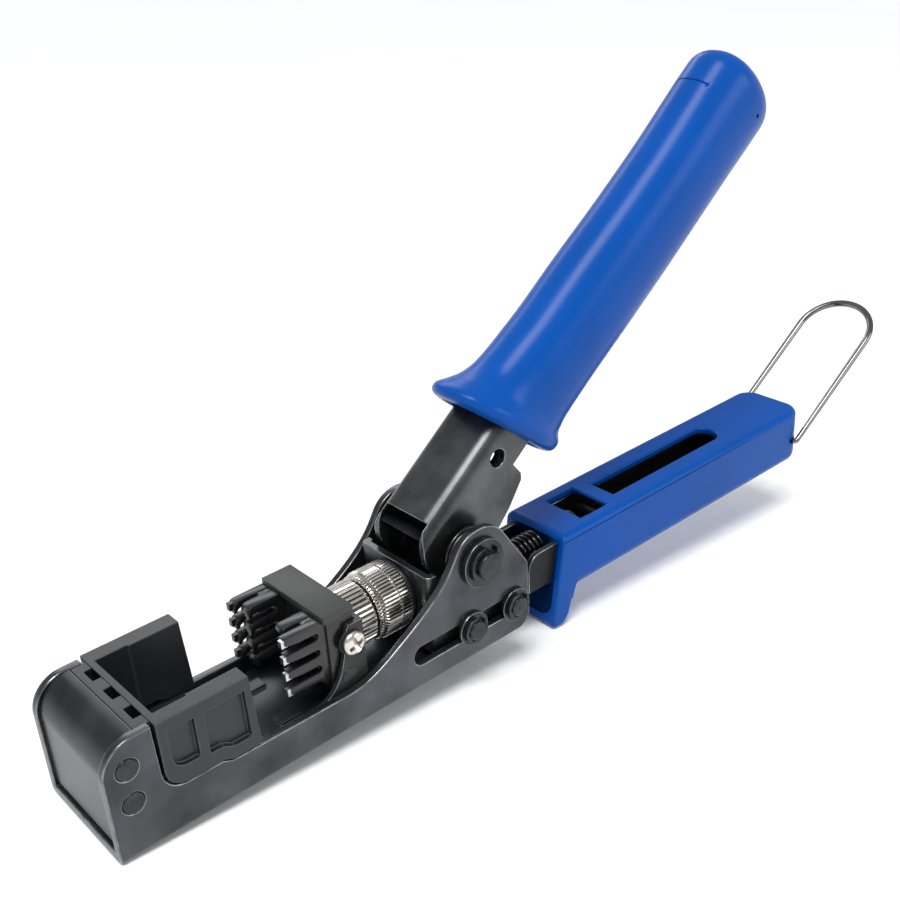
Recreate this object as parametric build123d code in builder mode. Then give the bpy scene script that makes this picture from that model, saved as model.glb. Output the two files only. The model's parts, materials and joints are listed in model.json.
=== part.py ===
from build123d import *
import math
import os

os.makedirs("parts", exist_ok=True)

# Millimetres. X runs back from the jaw to the handles, Y across the tool, Z up.
# The origin is the middle of the frame's underside.

# frame: one sheet folded into a channel
FRAME_LENGTH = 103.0
FRAME_WIDTH = 28.0
FRAME_SHEET = 1.8
FRAME_TOP = 25.5
RAIL_TOP = 9.0
NOSE_RADIUS = 7.0
EAR_RADIUS = 8.0
SLOT_START = 71.5
SLOT_END = 98.2
HALF_WIDTH = FRAME_WIDTH / 2
HALF_INSIDE = HALF_WIDTH - FRAME_SHEET

# rivets through the nose, and through the lower handle's tongue
NOSE_RIVETS = [(4.8, 19.3), (4.7, 11.8)]
NOSE_RIVET_RADIUS = 2.2
CORE_RIVETS_BACK = (81.0, 100.2)
CORE_RIVET_RADIUS = 1.6
RIVET_GAP = 0.02

# main pivot and the two carriage pins, as distances behind the frame's front edge
PIVOT_BACK = 88.9
PIVOT_UP = 23.0
PIVOT_RADIUS = 3.1
GUIDE_PIN_BACK = 85.2
DRIVE_PIN_BACK = 97.7
PIN_UP = 8.0
PIN_RADIUS = 2.2
RUNNING_GAP = 0.08

# motion
LEVER_ANGLE = 37.5
LEVER_SWING = 35.0
CARRIAGE_TRAVEL = 10.0

# lever and upper grip, measured along the lever (u) and square to it (w)
LEVER_SHEET = 1.7
LEVER_OUTSIDE = 8.4
LEVER_WEB = 13.0
LEVER_EDGE = 2.3
LEVER_END = 29.0
LEVER_BEND = 3.8
MOUTH = -0.5
WING_LOW = -6.7
WING_LEAN = 1.0
TANG_SHEET = 1.6
TANG_OUTSIDE = 6.6
TANG_WEB = 10.8
TANG_END = 112.0
GRIP_START = 26.0

# carriage
CARRIAGE_WEB_BACK = 76.2
CARRIAGE_SHEET = 1.6
CARRIAGE_OUTSIDE = 11.3
CARRIAGE_WEB_TOP = 23.1

# adjuster, on the punch's axis
ADJUSTER_UP = 15.5
STEM_RADIUS = 3.9
THREAD_GAP = 0.1
KNOB_RADIUS = 7.75
KNOB_FRONT = 67.6
KNOB_BACK = 75.1
COLLAR_RADIUS = 7.05
NECK_RADIUS = 5.0

# punch head
BLOCK_FRONT = 50.3
BLOCK_BACK = 57.5
BLOCK_HALF_WIDTH = 10.7
BLOCK_TOP = 26.15
BLOCK_BOTTOM = 7.7
FINGER_TIP = 41.9
FINGER_TOP = 25.4
FINGER_HEIGHT = 2.2
WIRE_PITCH = 3.81
FINGER_ROWS = 4
COMB_OUTSIDE = 10.0
COMB_INSIDE = 4.2
BRACKET_SHEET = 1.1

# nest for the jack
NEST_TOP = 25.6
NEST_BACK = 31.4
NEST_OUTSIDE = 14.35
NEST_FLOOR = 9.0
NEST_WALL_FRONT = 12.6

# lower handle
CORE_OUTSIDE = 7.4
CORE_SHEET = 1.4
CORE_TOP = 11.4
CORE_FRONT = 108.8
CORE_BACK = 203.0
HANDLE_HALF_WIDTH = 9.6
HANDLE_TOP = 13.5
HANDLE_BOTTOM = -2.2
HANDLE_BACK = 212.5
ANCHOR_BACK = 139.0
ANCHOR_RADIUS = 1.5

# return spring
COIL_START = 104.2
COIL_END = 131.0
COIL_RADIUS = 3.4
SPRING_WIRE = 0.5

# wire bail
BAIL_BACK = 208.5
BAIL_UP = 4.5
BAIL_ANGLE = 33.2
BAIL_WIRE = 0.72
BAIL_HALF_WIDTH = 10.6
BAIL_LEG = 36.5
BAIL_CORNER = 0.85


def behind(distance):
    """X of a point that lies this far behind the frame's front edge."""
    return distance - FRAME_LENGTH / 2


def side_plane(y=0.0):
    """The plane of a side view at this Y: local x is X, local y is Z, and extrusion goes to -Y."""
    return Plane(origin=(0, y, 0), x_dir=(1, 0, 0), z_dir=(0, -1, 0))


def cross_plane(distance):
    """The plane across the tool at this distance behind the front: local x is Y, local y is Z."""
    return Plane(origin=(behind(distance), 0, 0), x_dir=(0, 1, 0), z_dir=(1, 0, 0))


def lever_plane(y=0.0):
    """Side view turned to the lever: local x runs along the lever from the pivot, local y square to it."""
    along = (math.cos(math.radians(LEVER_ANGLE)), 0, math.sin(math.radians(LEVER_ANGLE)))
    return Plane(origin=(behind(PIVOT_BACK), y, PIVOT_UP), x_dir=along, z_dir=(0, -1, 0))


def on_side(points):
    """Side-view points given as distance behind the front and height."""
    return [(behind(distance), up) for distance, up in points]


def save(builder, name):
    builder.part.label = name
    export_step(builder.part, f"parts/{name}.step")


# --- frame channel ---------------------------------------------------------------------------

EAR_FRONT_ANGLE = 150.0
EAR_BACK_ANGLE = 33.0


def ear_point(angle):
    """A point on the rounded ear above the main pivot."""
    turn = math.radians(angle)
    return (behind(PIVOT_BACK) + EAR_RADIUS * math.cos(turn), PIVOT_UP + EAR_RADIUS * math.sin(turn))


with BuildPart() as frame_channel:
    with BuildSketch(side_plane(HALF_WIDTH)):
        with BuildLine():
            Line((behind(0), 0), (behind(0), FRAME_TOP - NOSE_RADIUS))
            JernArc((behind(0), FRAME_TOP - NOSE_RADIUS), (0, 1), NOSE_RADIUS, -90)
            Polyline(*on_side([(NOSE_RADIUS, FRAME_TOP), (10.6, FRAME_TOP), (10.9, 14.5)]))
            TangentArc(*on_side([(10.9, 14.5), (15.4, 10.0)]), tangent=(0, -1))
            Polyline(*on_side([(15.4, 10.0), (22.9, 10.0), (25.0, RAIL_TOP), (52.0, 8.6)]))
            Spline(*on_side([(52.0, 8.6), (64.6, 12.6), (76.6, 20.4)]), ear_point(EAR_FRONT_ANGLE),
                   tangents=[(1, 0), (math.sin(math.radians(EAR_FRONT_ANGLE)),
                                      -math.cos(math.radians(EAR_FRONT_ANGLE)))])
            ThreePointArc(ear_point(EAR_FRONT_ANGLE), ear_point(90), ear_point(EAR_BACK_ANGLE))
            Polyline(ear_point(EAR_BACK_ANGLE), *on_side([(102.6, 16.4), (FRAME_LENGTH, 15.2),
                                                          (FRAME_LENGTH, 4.0)]))
            JernArc((behind(FRAME_LENGTH), 4.0), (0, -1), 4.0, -90)
            Line((behind(FRAME_LENGTH - 4.0), 0), (behind(0), 0))
        make_face()
    extrude(amount=FRAME_WIDTH)
    with BuildSketch(cross_plane(-1)):
        with Locations((0, FRAME_SHEET + 20)):
            Rectangle(2 * HALF_INSIDE, 40)
    extrude(amount=FRAME_LENGTH + 2, mode=Mode.SUBTRACT)
    fillet(frame_channel.edges().filter_by(Axis.X).group_by(Axis.Z)[0], radius=1.2)
    with BuildSketch(side_plane(HALF_WIDTH)):
        with Locations(((behind(SLOT_START) + behind(SLOT_END)) / 2, PIN_UP)):
            SlotCenterToCenter(SLOT_END - SLOT_START, 2 * (PIN_RADIUS + RUNNING_GAP))
        with Locations((behind(PIVOT_BACK), PIVOT_UP)):
            Circle(PIVOT_RADIUS + 0.02)
        with Locations(*on_side(NOSE_RIVETS)):
            Circle(NOSE_RIVET_RADIUS + RIVET_GAP)
    extrude(amount=FRAME_WIDTH, mode=Mode.SUBTRACT)
    with Locations(*[(behind(d), 0, FRAME_SHEET / 2) for d in CORE_RIVETS_BACK]):
        Hole(radius=CORE_RIVET_RADIUS + RIVET_GAP, depth=FRAME_SHEET * 2)
save(frame_channel, "frame_channel")

# --- front cover: a sheet rolled over the nose -----------------------------------------------

COVER_FRONT = 0.7
COVER_SHEET = 1.0
COVER_TOP = 25.3
COVER_HALF_WIDTH = HALF_INSIDE - 0.1

with BuildPart() as front_cover:
    with BuildSketch(side_plane(COVER_HALF_WIDTH)):
        with BuildLine():
            Line((behind(COVER_FRONT), 2.8), (behind(COVER_FRONT), COVER_TOP - NOSE_RADIUS))
            JernArc((behind(COVER_FRONT), COVER_TOP - NOSE_RADIUS), (0, 1), NOSE_RADIUS, -90)
            Line(*on_side([(COVER_FRONT + NOSE_RADIUS, COVER_TOP), (8.0, COVER_TOP)]))
            offset(amount=COVER_SHEET, side=Side.RIGHT)
        make_face()
    extrude(amount=2 * COVER_HALF_WIDTH)
save(front_cover, "front_cover")

# --- jack nest -------------------------------------------------------------------------------

NEST_INNER_FRONT = 10.9
NEST_INNER_BACK = 10.4
NEST_STEP = 19.5
WINDOW_SPACING = 7.6

with BuildPart() as jack_nest:
    # block between the plates, under the cover, and the floor behind it
    with BuildSketch(side_plane(COVER_HALF_WIDTH)):
        with BuildLine():
            Polyline(*on_side([(29.0, 2.0), (1.8, 2.0), (1.8, COVER_TOP - NOSE_RADIUS)]))
            JernArc((behind(1.8), COVER_TOP - NOSE_RADIUS), (0, 1), NOSE_RADIUS - 1.1, -90)
            Polyline(*on_side([(NOSE_RADIUS + 0.7, 24.2), (8.1, 24.2), (8.1, COVER_TOP),
                               (NEST_WALL_FRONT, COVER_TOP), (NEST_WALL_FRONT, NEST_FLOOR),
                               (29.0, NEST_FLOOR), (29.0, 2.0)]))
        make_face()
    extrude(amount=2 * COVER_HALF_WIDTH)
    # the two side walls hang over the plates' cut-outs
    with BuildSketch(side_plane(NEST_OUTSIDE)):
        with BuildLine():
            Polyline(*on_side([(11.2, NEST_TOP), (30.5, NEST_TOP), (NEST_BACK, 9.4), (25.1, 9.4),
                               (23.0, 10.4), (15.6, 10.4)]))
            TangentArc(*on_side([(15.6, 10.4), (11.3, 14.7)]), tangent=(-1, 0))
            Line(*on_side([(11.3, 14.7), (11.2, NEST_TOP)]))
        make_face()
    extrude(amount=2 * NEST_OUTSIDE)
    with BuildSketch(Plane.XY.offset(NEST_FLOOR)):
        with Locations((behind((NEST_WALL_FRONT + NEST_STEP) / 2), 0)):
            Rectangle(NEST_STEP - NEST_WALL_FRONT, 2 * NEST_INNER_FRONT)
        with Locations((behind((NEST_STEP + 34) / 2), 0)):
            Rectangle(34 - NEST_STEP, 2 * NEST_INNER_BACK)
    extrude(amount=20, mode=Mode.SUBTRACT)
    # three pockets across the front band
    with BuildSketch(Plane.XY.offset(COVER_TOP)):
        with Locations((behind(10.6), 0)):
            with GridLocations(0, WINDOW_SPACING, 1, 3):
                Rectangle(2.1, 3.8)
    extrude(amount=-12, mode=Mode.SUBTRACT)
    # two recesses in each outer face
    for side in (-1, 1):
        with BuildSketch(side_plane(side * (NEST_OUTSIDE - 1.2 * (1 - side) / 2))):
            with BuildLine():
                Polyline(*on_side([(16.2, 14.0), (18.6, 14.0), (18.6, 22.8), (13.2, 22.8), (13.2, 17.0)]))
                TangentArc(*on_side([(13.2, 17.0), (16.2, 14.0)]), tangent=(0, -1))
            make_face()
            with BuildLine():
                Polyline(*on_side([(20.7, 15.2), (20.7, 22.8), (29.3, 22.8), (29.4, 12.2), (25.6, 12.2),
                                   (23.4, 13.4), (20.7, 13.4)]), close=True)
            make_face()
        extrude(amount=1.2, mode=Mode.SUBTRACT)
    with BuildSketch(side_plane(COVER_HALF_WIDTH)):
        with Locations(*on_side(NOSE_RIVETS)):
            Circle(NOSE_RIVET_RADIUS + RIVET_GAP)
    extrude(amount=2 * COVER_HALF_WIDTH, mode=Mode.SUBTRACT)
save(jack_nest, "jack_nest")

# --- tray behind the nest ----------------------------------------------------------------------

with BuildPart() as rear_tray:
    with BuildSketch(Plane.XY.offset(FRAME_SHEET)):
        with Locations((behind(44.6), 0)):
            Rectangle(30.8, 2 * COVER_HALF_WIDTH)
    extrude(amount=3.0)
    with BuildSketch(Plane.XY.offset(FRAME_SHEET + 3.0)):
        with Locations(*[(behind(42.0), y) for y in (-6.5, 6.5)]):
            Rectangle(5.0, 3.0)
    extrude(amount=0.7)
    with BuildSketch(Plane.XY.offset(FRAME_SHEET + 3.0)):
        with Locations(*[(behind(38.0), y) for y in (-10.0, 10.0)]):
            Rectangle(9.0, 1.6)
        with Locations((behind(52.0), 0)):
            Rectangle(8.0, 6.0)
    extrude(amount=-2.0, mode=Mode.SUBTRACT)
save(rear_tray, "rear_tray")

# --- rivets through plates and nest -----------------------------------------------------------

with BuildPart() as front_rivets:
    with BuildSketch(side_plane(HALF_WIDTH + 0.15)):
        with Locations(*on_side(NOSE_RIVETS)):
            Circle(NOSE_RIVET_RADIUS)
    extrude(amount=FRAME_WIDTH + 0.3)
    chamfer(front_rivets.edges().filter_by(GeomType.CIRCLE), length=0.25)
save(front_rivets, "front_rivets")

# --- main pivot --------------------------------------------------------------------------------

CLIP_SHEET = 0.8


def headed_pins(places, radius, near_end, far_end, groove_at, head_radius):
    """Pins across the tool with a head on the far side and a clip groove by the near end."""
    with BuildPart() as pins:
        with BuildSketch(side_plane(far_end)):
            with Locations(*places):
                Circle(head_radius)
        extrude(amount=far_end - HALF_WIDTH - 0.1)
        with BuildSketch(side_plane(HALF_WIDTH + 0.1)):
            with Locations(*places):
                Circle(radius)
        extrude(amount=HALF_WIDTH + 0.1 - near_end)
        with BuildSketch(side_plane(groove_at)):
            with Locations(*places):
                Circle(radius + 1)
                Circle(radius - 0.6, mode=Mode.SUBTRACT)
        extrude(amount=CLIP_SHEET + 0.1, mode=Mode.SUBTRACT)
        chamfer(pins.edges().filter_by(GeomType.CIRCLE).group_by(Axis.Y)[0], length=0.3)
    return pins


def washers(places, outer, inner, sheet):
    """Flat washers lying on the near plate."""
    with BuildPart() as rings:
        with BuildSketch(side_plane(-HALF_WIDTH - 0.1)):
            with Locations(*places):
                Circle(outer)
                Circle(inner, mode=Mode.SUBTRACT)
        extrude(amount=sheet)
    return rings


def clips(places, radius, groove_at, turn):
    """E-clips: an open ring with three inner teeth that sit in the pin's groove."""
    with BuildPart() as rings:
        with BuildSketch(side_plane(groove_at - 0.05)):
            for x, z in places:
                with Locations(Location((x, z), turn)):
                    Circle(radius * 1.4)
                    Circle(radius + 0.25, mode=Mode.SUBTRACT)
                    Rectangle(radius * 2, radius * 1.1, align=(Align.MIN, Align.CENTER), mode=Mode.SUBTRACT)
                    with PolarLocations(radius + 0.1, 3, start_angle=90, angular_range=180):
                        Rectangle(1.2, radius * 0.62)
        extrude(amount=CLIP_SHEET)
    return rings


PIVOT_PLACE = [(behind(PIVOT_BACK), PIVOT_UP)]
PIN_PLACES = on_side([(GUIDE_PIN_BACK, PIN_UP), (DRIVE_PIN_BACK, PIN_UP)])

save(headed_pins(PIVOT_PLACE, PIVOT_RADIUS, -17.4, 16.0, -15.3, 5.2), "pivot_pin")
save(washers(PIVOT_PLACE, 5.6, PIVOT_RADIUS + 0.05, 1.1), "pivot_washer")
save(clips(PIVOT_PLACE, PIVOT_RADIUS, -15.3, 70), "pivot_clip")

# --- lever -------------------------------------------------------------------------------------


def in_lever(x, z, angle):
    """A side-view offset from the pivot, in the lever's coordinates when the lever stands at this angle."""
    turn = math.radians(angle)
    return Vector(x * math.cos(turn) + z * math.sin(turn), -x * math.sin(turn) + z * math.cos(turn))


def across_lever(u, w):
    """A plane square to the lever at u along it: local x is Y, local y is the lever's w, centred at w."""
    place = lever_plane().from_local_coords(Vector(u, w, 0))
    return Plane(origin=place, x_dir=(0, 1, 0), z_dir=lever_plane().x_dir)


def drive_pin_in_lever(share):
    """Where the drive pin lies in the lever when this share of the swing is done."""
    back = DRIVE_PIN_BACK - PIVOT_BACK - share * CARRIAGE_TRAVEL
    return in_lever(back, PIN_UP - PIVOT_UP, LEVER_ANGLE - share * LEVER_SWING)


FORK_REACH = 18.8
FORK_HALF_WIDTH = 5.0
FORK_GAP = 0.3
CHEEK_HOLE = (19.9, 7.6)
fork_line = drive_pin_in_lever(0).normalized()
fork_across = Vector(-fork_line.Y, fork_line.X)
fork_front = fork_line * FORK_REACH - fork_across * FORK_HALF_WIDTH
fork_back = fork_line * FORK_REACH + fork_across * FORK_HALF_WIDTH
slot_mouth = drive_pin_in_lever(0) + fork_line * 6

# outer channel: the folded sheet seen below the grip, with a wing under each cheek
with BuildPart() as lever_channel:
    with BuildSketch(lever_plane(LEVER_OUTSIDE)):
        with BuildLine():
            Polyline((LEVER_END, LEVER_EDGE), (LEVER_END, LEVER_WEB), (MOUTH, LEVER_WEB))
            ThreePointArc((MOUTH, LEVER_WEB), (-6.3, 9.4), in_lever(-7.6, -3.0, LEVER_ANGLE))
            ThreePointArc(in_lever(-7.6, -3.0, LEVER_ANGLE), in_lever(0, -7.6, LEVER_ANGLE), (2.0, -7.7))
            Polyline((2.0, -7.7), (9.3, WING_LOW), (14.3, -5.7), (20.6, -3.4), (21.6, -1.9), (21.5, LEVER_EDGE),
                     (LEVER_END, LEVER_EDGE))
        make_face()
    extrude(amount=2 * LEVER_OUTSIDE)
    fillet(lever_channel.edges().filter_by(GeomType.LINE).sort_by(SortBy.LENGTH)[-2:], radius=LEVER_BEND)
    # the wings below the cheeks lean in towards the middle
    with BuildSketch(across_lever(-15, 0)):
        for side in (-1, 1):
            with BuildLine():
                Polyline((side * LEVER_OUTSIDE, LEVER_EDGE), (side * (LEVER_OUTSIDE - WING_LEAN), WING_LOW),
                         (side * (LEVER_OUTSIDE - WING_LEAN), 2 * WING_LOW), (side * 2 * LEVER_OUTSIDE, 2 * WING_LOW),
                         (side * 2 * LEVER_OUTSIDE, LEVER_EDGE), close=True)
            make_face()
    extrude(amount=60, mode=Mode.SUBTRACT)
    # hollow between the cheeks, open at the back
    with BuildSketch(lever_plane(LEVER_OUTSIDE - LEVER_SHEET)):
        with Locations((30, LEVER_WEB - LEVER_SHEET)):
            Rectangle(200, 60, align=(Align.CENTER, Align.MAX))
    extrude(amount=2 * (LEVER_OUTSIDE - LEVER_SHEET), mode=Mode.SUBTRACT)
    # the web stops above the pivot, between two rounded cheeks
    with BuildSketch(lever_plane(LEVER_OUTSIDE - LEVER_SHEET - 0.05)):
        with Locations((MOUTH, LEVER_WEB + 2)):
            Rectangle(20, 12, align=(Align.MAX, Align.MAX))
    extrude(amount=2 * (LEVER_OUTSIDE - LEVER_SHEET - 0.05), mode=Mode.SUBTRACT)
    with BuildSketch(lever_plane(LEVER_OUTSIDE)):
        Circle(PIVOT_RADIUS + RUNNING_GAP)
        with Locations(CHEEK_HOLE):
            Circle(2.1)
    extrude(amount=2 * LEVER_OUTSIDE, mode=Mode.SUBTRACT)
save(lever_channel, "lever_channel")

# inner channel: runs up inside the grip, and carries the fork
with BuildPart() as lever_tang:
    with BuildSketch(lever_plane(TANG_OUTSIDE)):
        with BuildLine():
            Polyline((TANG_END, TANG_WEB), (9.0, TANG_WEB), in_lever(-6.0, -2.0, LEVER_ANGLE), fork_front,
                     fork_back, (9.3, -6.0), (14.0, -5.0), (20.0, -3.0), (20.8, -1.9), (20.8, LEVER_EDGE),
                     (TANG_END, LEVER_EDGE), close=True)
        make_face()
    extrude(amount=2 * TANG_OUTSIDE)
    # hollow facing the outer channel, with the web at the back
    with BuildSketch(lever_plane(TANG_OUTSIDE - TANG_SHEET)):
        with Locations((30, LEVER_EDGE + TANG_SHEET)):
            Rectangle(200, 60, align=(Align.CENTER, Align.MIN))
        with Locations((22.0, 0)):
            Rectangle(100, 100, align=(Align.MAX, Align.CENTER))
    extrude(amount=2 * (TANG_OUTSIDE - TANG_SHEET), mode=Mode.SUBTRACT)
    # pivot bore, spare hole, and the fork's slot, which follows the drive pin
    with BuildSketch(lever_plane(TANG_OUTSIDE)):
        Circle(PIVOT_RADIUS + RUNNING_GAP)
        with Locations(CHEEK_HOLE):
            Circle(2.1)
        with BuildLine():
            Spline(drive_pin_in_lever(1), drive_pin_in_lever(0.66), drive_pin_in_lever(0.33),
                   drive_pin_in_lever(0), slot_mouth)
        trace(line_width=2 * (PIN_RADIUS + FORK_GAP))
        with Locations(drive_pin_in_lever(1)):
            Circle(PIN_RADIUS + FORK_GAP)
    extrude(amount=2 * TANG_OUTSIDE, mode=Mode.SUBTRACT)
save(lever_tang, "lever_tang")

# spacer rings on the main pin, between the lever's cheeks and the plates
with BuildPart() as lever_spacers:
    with BuildSketch(side_plane(HALF_INSIDE - 0.1)):
        with Locations(*PIVOT_PLACE):
            Circle(7.4)
            Circle(PIVOT_RADIUS + RUNNING_GAP, mode=Mode.SUBTRACT)
    extrude(amount=HALF_INSIDE - LEVER_OUTSIDE - 0.2)
    mirror(about=Plane.XZ)
save(lever_spacers, "lever_spacers")

# --- upper grip --------------------------------------------------------------------------------

# sections of the grip: distance along the lever, half width, reach below and above the lever's line
GRIP_SECTIONS = [
    (26.0, 10.6, -7.2, 21.6), (27.6, 11.4, -7.9, 22.6), (29.4, 10.9, -7.8, 21.2), (31.6, 9.9, -8.0, 18.9),
    (35.0, 9.3, -8.1, 17.4), (45.0, 9.3, -8.3, 16.6), (62.0, 9.3, -8.6, 16.1), (82.0, 9.3, -8.7, 15.9),
    (102.0, 9.2, -8.7, 16.0), (116.0, 9.1, -8.6, 16.2), (121.5, 8.8, -8.0, 15.8), (125.4, 7.6, -6.2, 14.3),
    (127.8, 5.4, -3.2, 11.6), (128.9, 2.6, 0.6, 7.8)]

with BuildPart() as upper_grip:
    for u, half_width, low, high in GRIP_SECTIONS:
        with BuildSketch(across_lever(u, (low + high) / 2)):
            Ellipse(half_width, (high - low) / 2)
    loft()
    # socket for the outer channel in the mouth, and a deeper one for the inner channel
    with BuildSketch(across_lever(GRIP_START - 1, (LEVER_WEB + LEVER_EDGE) / 2)):
        Rectangle(2 * LEVER_OUTSIDE + 0.1, LEVER_WEB - LEVER_EDGE + 0.1)
    extrude(amount=LEVER_END - GRIP_START + 1.1, mode=Mode.SUBTRACT)
    with BuildSketch(across_lever(GRIP_START - 1, (TANG_WEB + LEVER_EDGE) / 2)):
        Rectangle(2 * TANG_OUTSIDE + 0.1, TANG_WEB - LEVER_EDGE + 0.1)
    extrude(amount=TANG_END - GRIP_START + 1.5, mode=Mode.SUBTRACT)
save(upper_grip, "upper_grip")

# --- carriage ----------------------------------------------------------------------------------

NECK_GAP = 0.06
CARRIAGE_WEB_END = CARRIAGE_WEB_BACK + CARRIAGE_SHEET

with BuildPart() as carriage_bracket:
    with BuildSketch(side_plane(CARRIAGE_OUTSIDE)):
        with BuildLine():
            Polyline(*on_side([(CARRIAGE_WEB_BACK, 4.2), (CARRIAGE_WEB_BACK, CARRIAGE_WEB_TOP),
                               (CARRIAGE_WEB_END + 0.8, CARRIAGE_WEB_TOP), (84.0, 12.2), (101.6, 12.2),
                               (101.6, 4.2)]), close=True)
        make_face()
        fillet(vertices().group_by(Axis.X)[-1], radius=2.0)
    extrude(amount=2 * CARRIAGE_OUTSIDE)
    with BuildSketch(cross_plane(CARRIAGE_WEB_END)):
        Rectangle(2 * (CARRIAGE_OUTSIDE - CARRIAGE_SHEET), 80)
    extrude(amount=40, mode=Mode.SUBTRACT)
    fillet(carriage_bracket.edges().filter_by(Axis.Z).group_by(Axis.X)[0], radius=1.4)
    with BuildSketch(side_plane(CARRIAGE_OUTSIDE)):
        with Locations(*PIN_PLACES):
            Circle(PIN_RADIUS + 0.02)
    extrude(amount=2 * CARRIAGE_OUTSIDE, mode=Mode.SUBTRACT)
    with BuildSketch(cross_plane(CARRIAGE_WEB_BACK - 1)):
        with Locations((0, ADJUSTER_UP)):
            Circle(NECK_RADIUS + NECK_GAP)
    extrude(amount=CARRIAGE_SHEET + 2, mode=Mode.SUBTRACT)
save(carriage_bracket, "carriage_bracket")

save(headed_pins(PIN_PLACES, PIN_RADIUS, -16.3, 15.6, -15.0, 3.6), "carriage_pins")
save(washers(PIN_PLACES, 3.9, PIN_RADIUS + 0.05, 0.8), "carriage_washers")
save(clips(PIN_PLACES, PIN_RADIUS, -15.0, 60), "carriage_clips")

# --- adjuster ----------------------------------------------------------------------------------

COLLAR_FRONT = 59.0
COLLAR_BACK = 66.2


def knurl(radius, grooves, depth):
    """Shallow V-grooves around a circle, as points of a closed outline."""
    points = []
    for index in range(2 * grooves):
        turn = math.pi * index / grooves
        reach = radius - depth * (index % 2)
        points.append((reach * math.cos(turn), reach * math.sin(turn)))
    return points


with BuildPart() as stem_collar:
    with BuildSketch(cross_plane(COLLAR_FRONT)):
        with Locations((0, ADJUSTER_UP)):
            Polygon(*knurl(COLLAR_RADIUS, 44, 0.3))
            Circle(STEM_RADIUS, mode=Mode.SUBTRACT)
    extrude(amount=COLLAR_BACK - COLLAR_FRONT)
save(stem_collar, "stem_collar")

with BuildPart() as threaded_stem:
    with BuildSketch(cross_plane(BLOCK_BACK + 0.1)):
        with Locations((0, ADJUSTER_UP)):
            Circle(STEM_RADIUS)
    extrude(amount=CARRIAGE_WEB_BACK + 0.5 - BLOCK_BACK - 0.1)
    chamfer(threaded_stem.faces().sort_by(Axis.X)[-1].edges(), length=0.6)
save(threaded_stem, "threaded_stem")

with BuildPart() as adjuster_knob:
    with BuildSketch(cross_plane(KNOB_FRONT)):
        with Locations((0, ADJUSTER_UP)):
            Polygon(*knurl(KNOB_RADIUS, 52, 0.3))
    extrude(amount=KNOB_BACK - KNOB_FRONT)
    with BuildSketch(cross_plane(KNOB_FRONT - 1.1)):
        with Locations((0, ADJUSTER_UP)):
            Circle(KNOB_RADIUS - 0.4)
    extrude(amount=0.8)
    with BuildSketch(cross_plane(KNOB_FRONT - 0.3)):
        with Locations((0, ADJUSTER_UP)):
            Circle(KNOB_RADIUS - 1.2)
    extrude(amount=0.3)
    with BuildSketch(cross_plane(72.9)):
        with Locations((0, ADJUSTER_UP)):
            Circle(KNOB_RADIUS + 1)
            Circle(KNOB_RADIUS - 0.5, mode=Mode.SUBTRACT)
    extrude(amount=0.4, mode=Mode.SUBTRACT)
    with BuildSketch(cross_plane(KNOB_BACK)):
        with Locations((0, ADJUSTER_UP)):
            Circle(NECK_RADIUS)
    extrude(amount=4.4)
    with BuildSketch(cross_plane(78.2)):
        with Locations((0, ADJUSTER_UP)):
            Circle(NECK_RADIUS + 1)
            Circle(NECK_RADIUS - 0.4, mode=Mode.SUBTRACT)
    extrude(amount=0.9, mode=Mode.SUBTRACT)
    with BuildSketch(cross_plane(KNOB_FRONT - 3)):
        with Locations((0, ADJUSTER_UP)):
            Circle(STEM_RADIUS + THREAD_GAP)
    extrude(amount=20, mode=Mode.SUBTRACT)
save(adjuster_knob, "adjuster_knob")

with BuildPart() as knob_retainer:
    with BuildSketch(cross_plane(78.25)):
        with Locations((0, ADJUSTER_UP)):
            Circle(NECK_RADIUS + 1.3)
            Circle(NECK_RADIUS - 0.38, mode=Mode.SUBTRACT)
            Rectangle(3.0, 8.0, align=(Align.CENTER, Align.MAX), mode=Mode.SUBTRACT)
    extrude(amount=0.8)
save(knob_retainer, "knob_retainer")

with BuildPart() as knob_seat:
    with BuildSketch(cross_plane(KNOB_BACK + 0.1)):
        with Locations((0, ADJUSTER_UP)):
            Circle(7.2)
            Circle(NECK_RADIUS + NECK_GAP, mode=Mode.SUBTRACT)
    extrude(amount=CARRIAGE_WEB_BACK - KNOB_BACK - 0.15)
save(knob_seat, "knob_seat")

# --- punch head --------------------------------------------------------------------------------

BRACKET_INSIDE = BLOCK_HALF_WIDTH + 0.05
BRACKET_OUTSIDE = BRACKET_INSIDE + BRACKET_SHEET
BRACKET_WEB_FRONT = BLOCK_BACK + 0.1
BRACKET_BACK = BRACKET_WEB_FRONT + BRACKET_SHEET
SCREW_PLACE = (55.7, 18.7)
STUD_PLACE = (54.4, 11.1)
FASTENER_RADIUS = 1.5
SCREW_HEAD_RADIUS = 2.7
SCREW_HEAD_HEIGHT = 1.3

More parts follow.
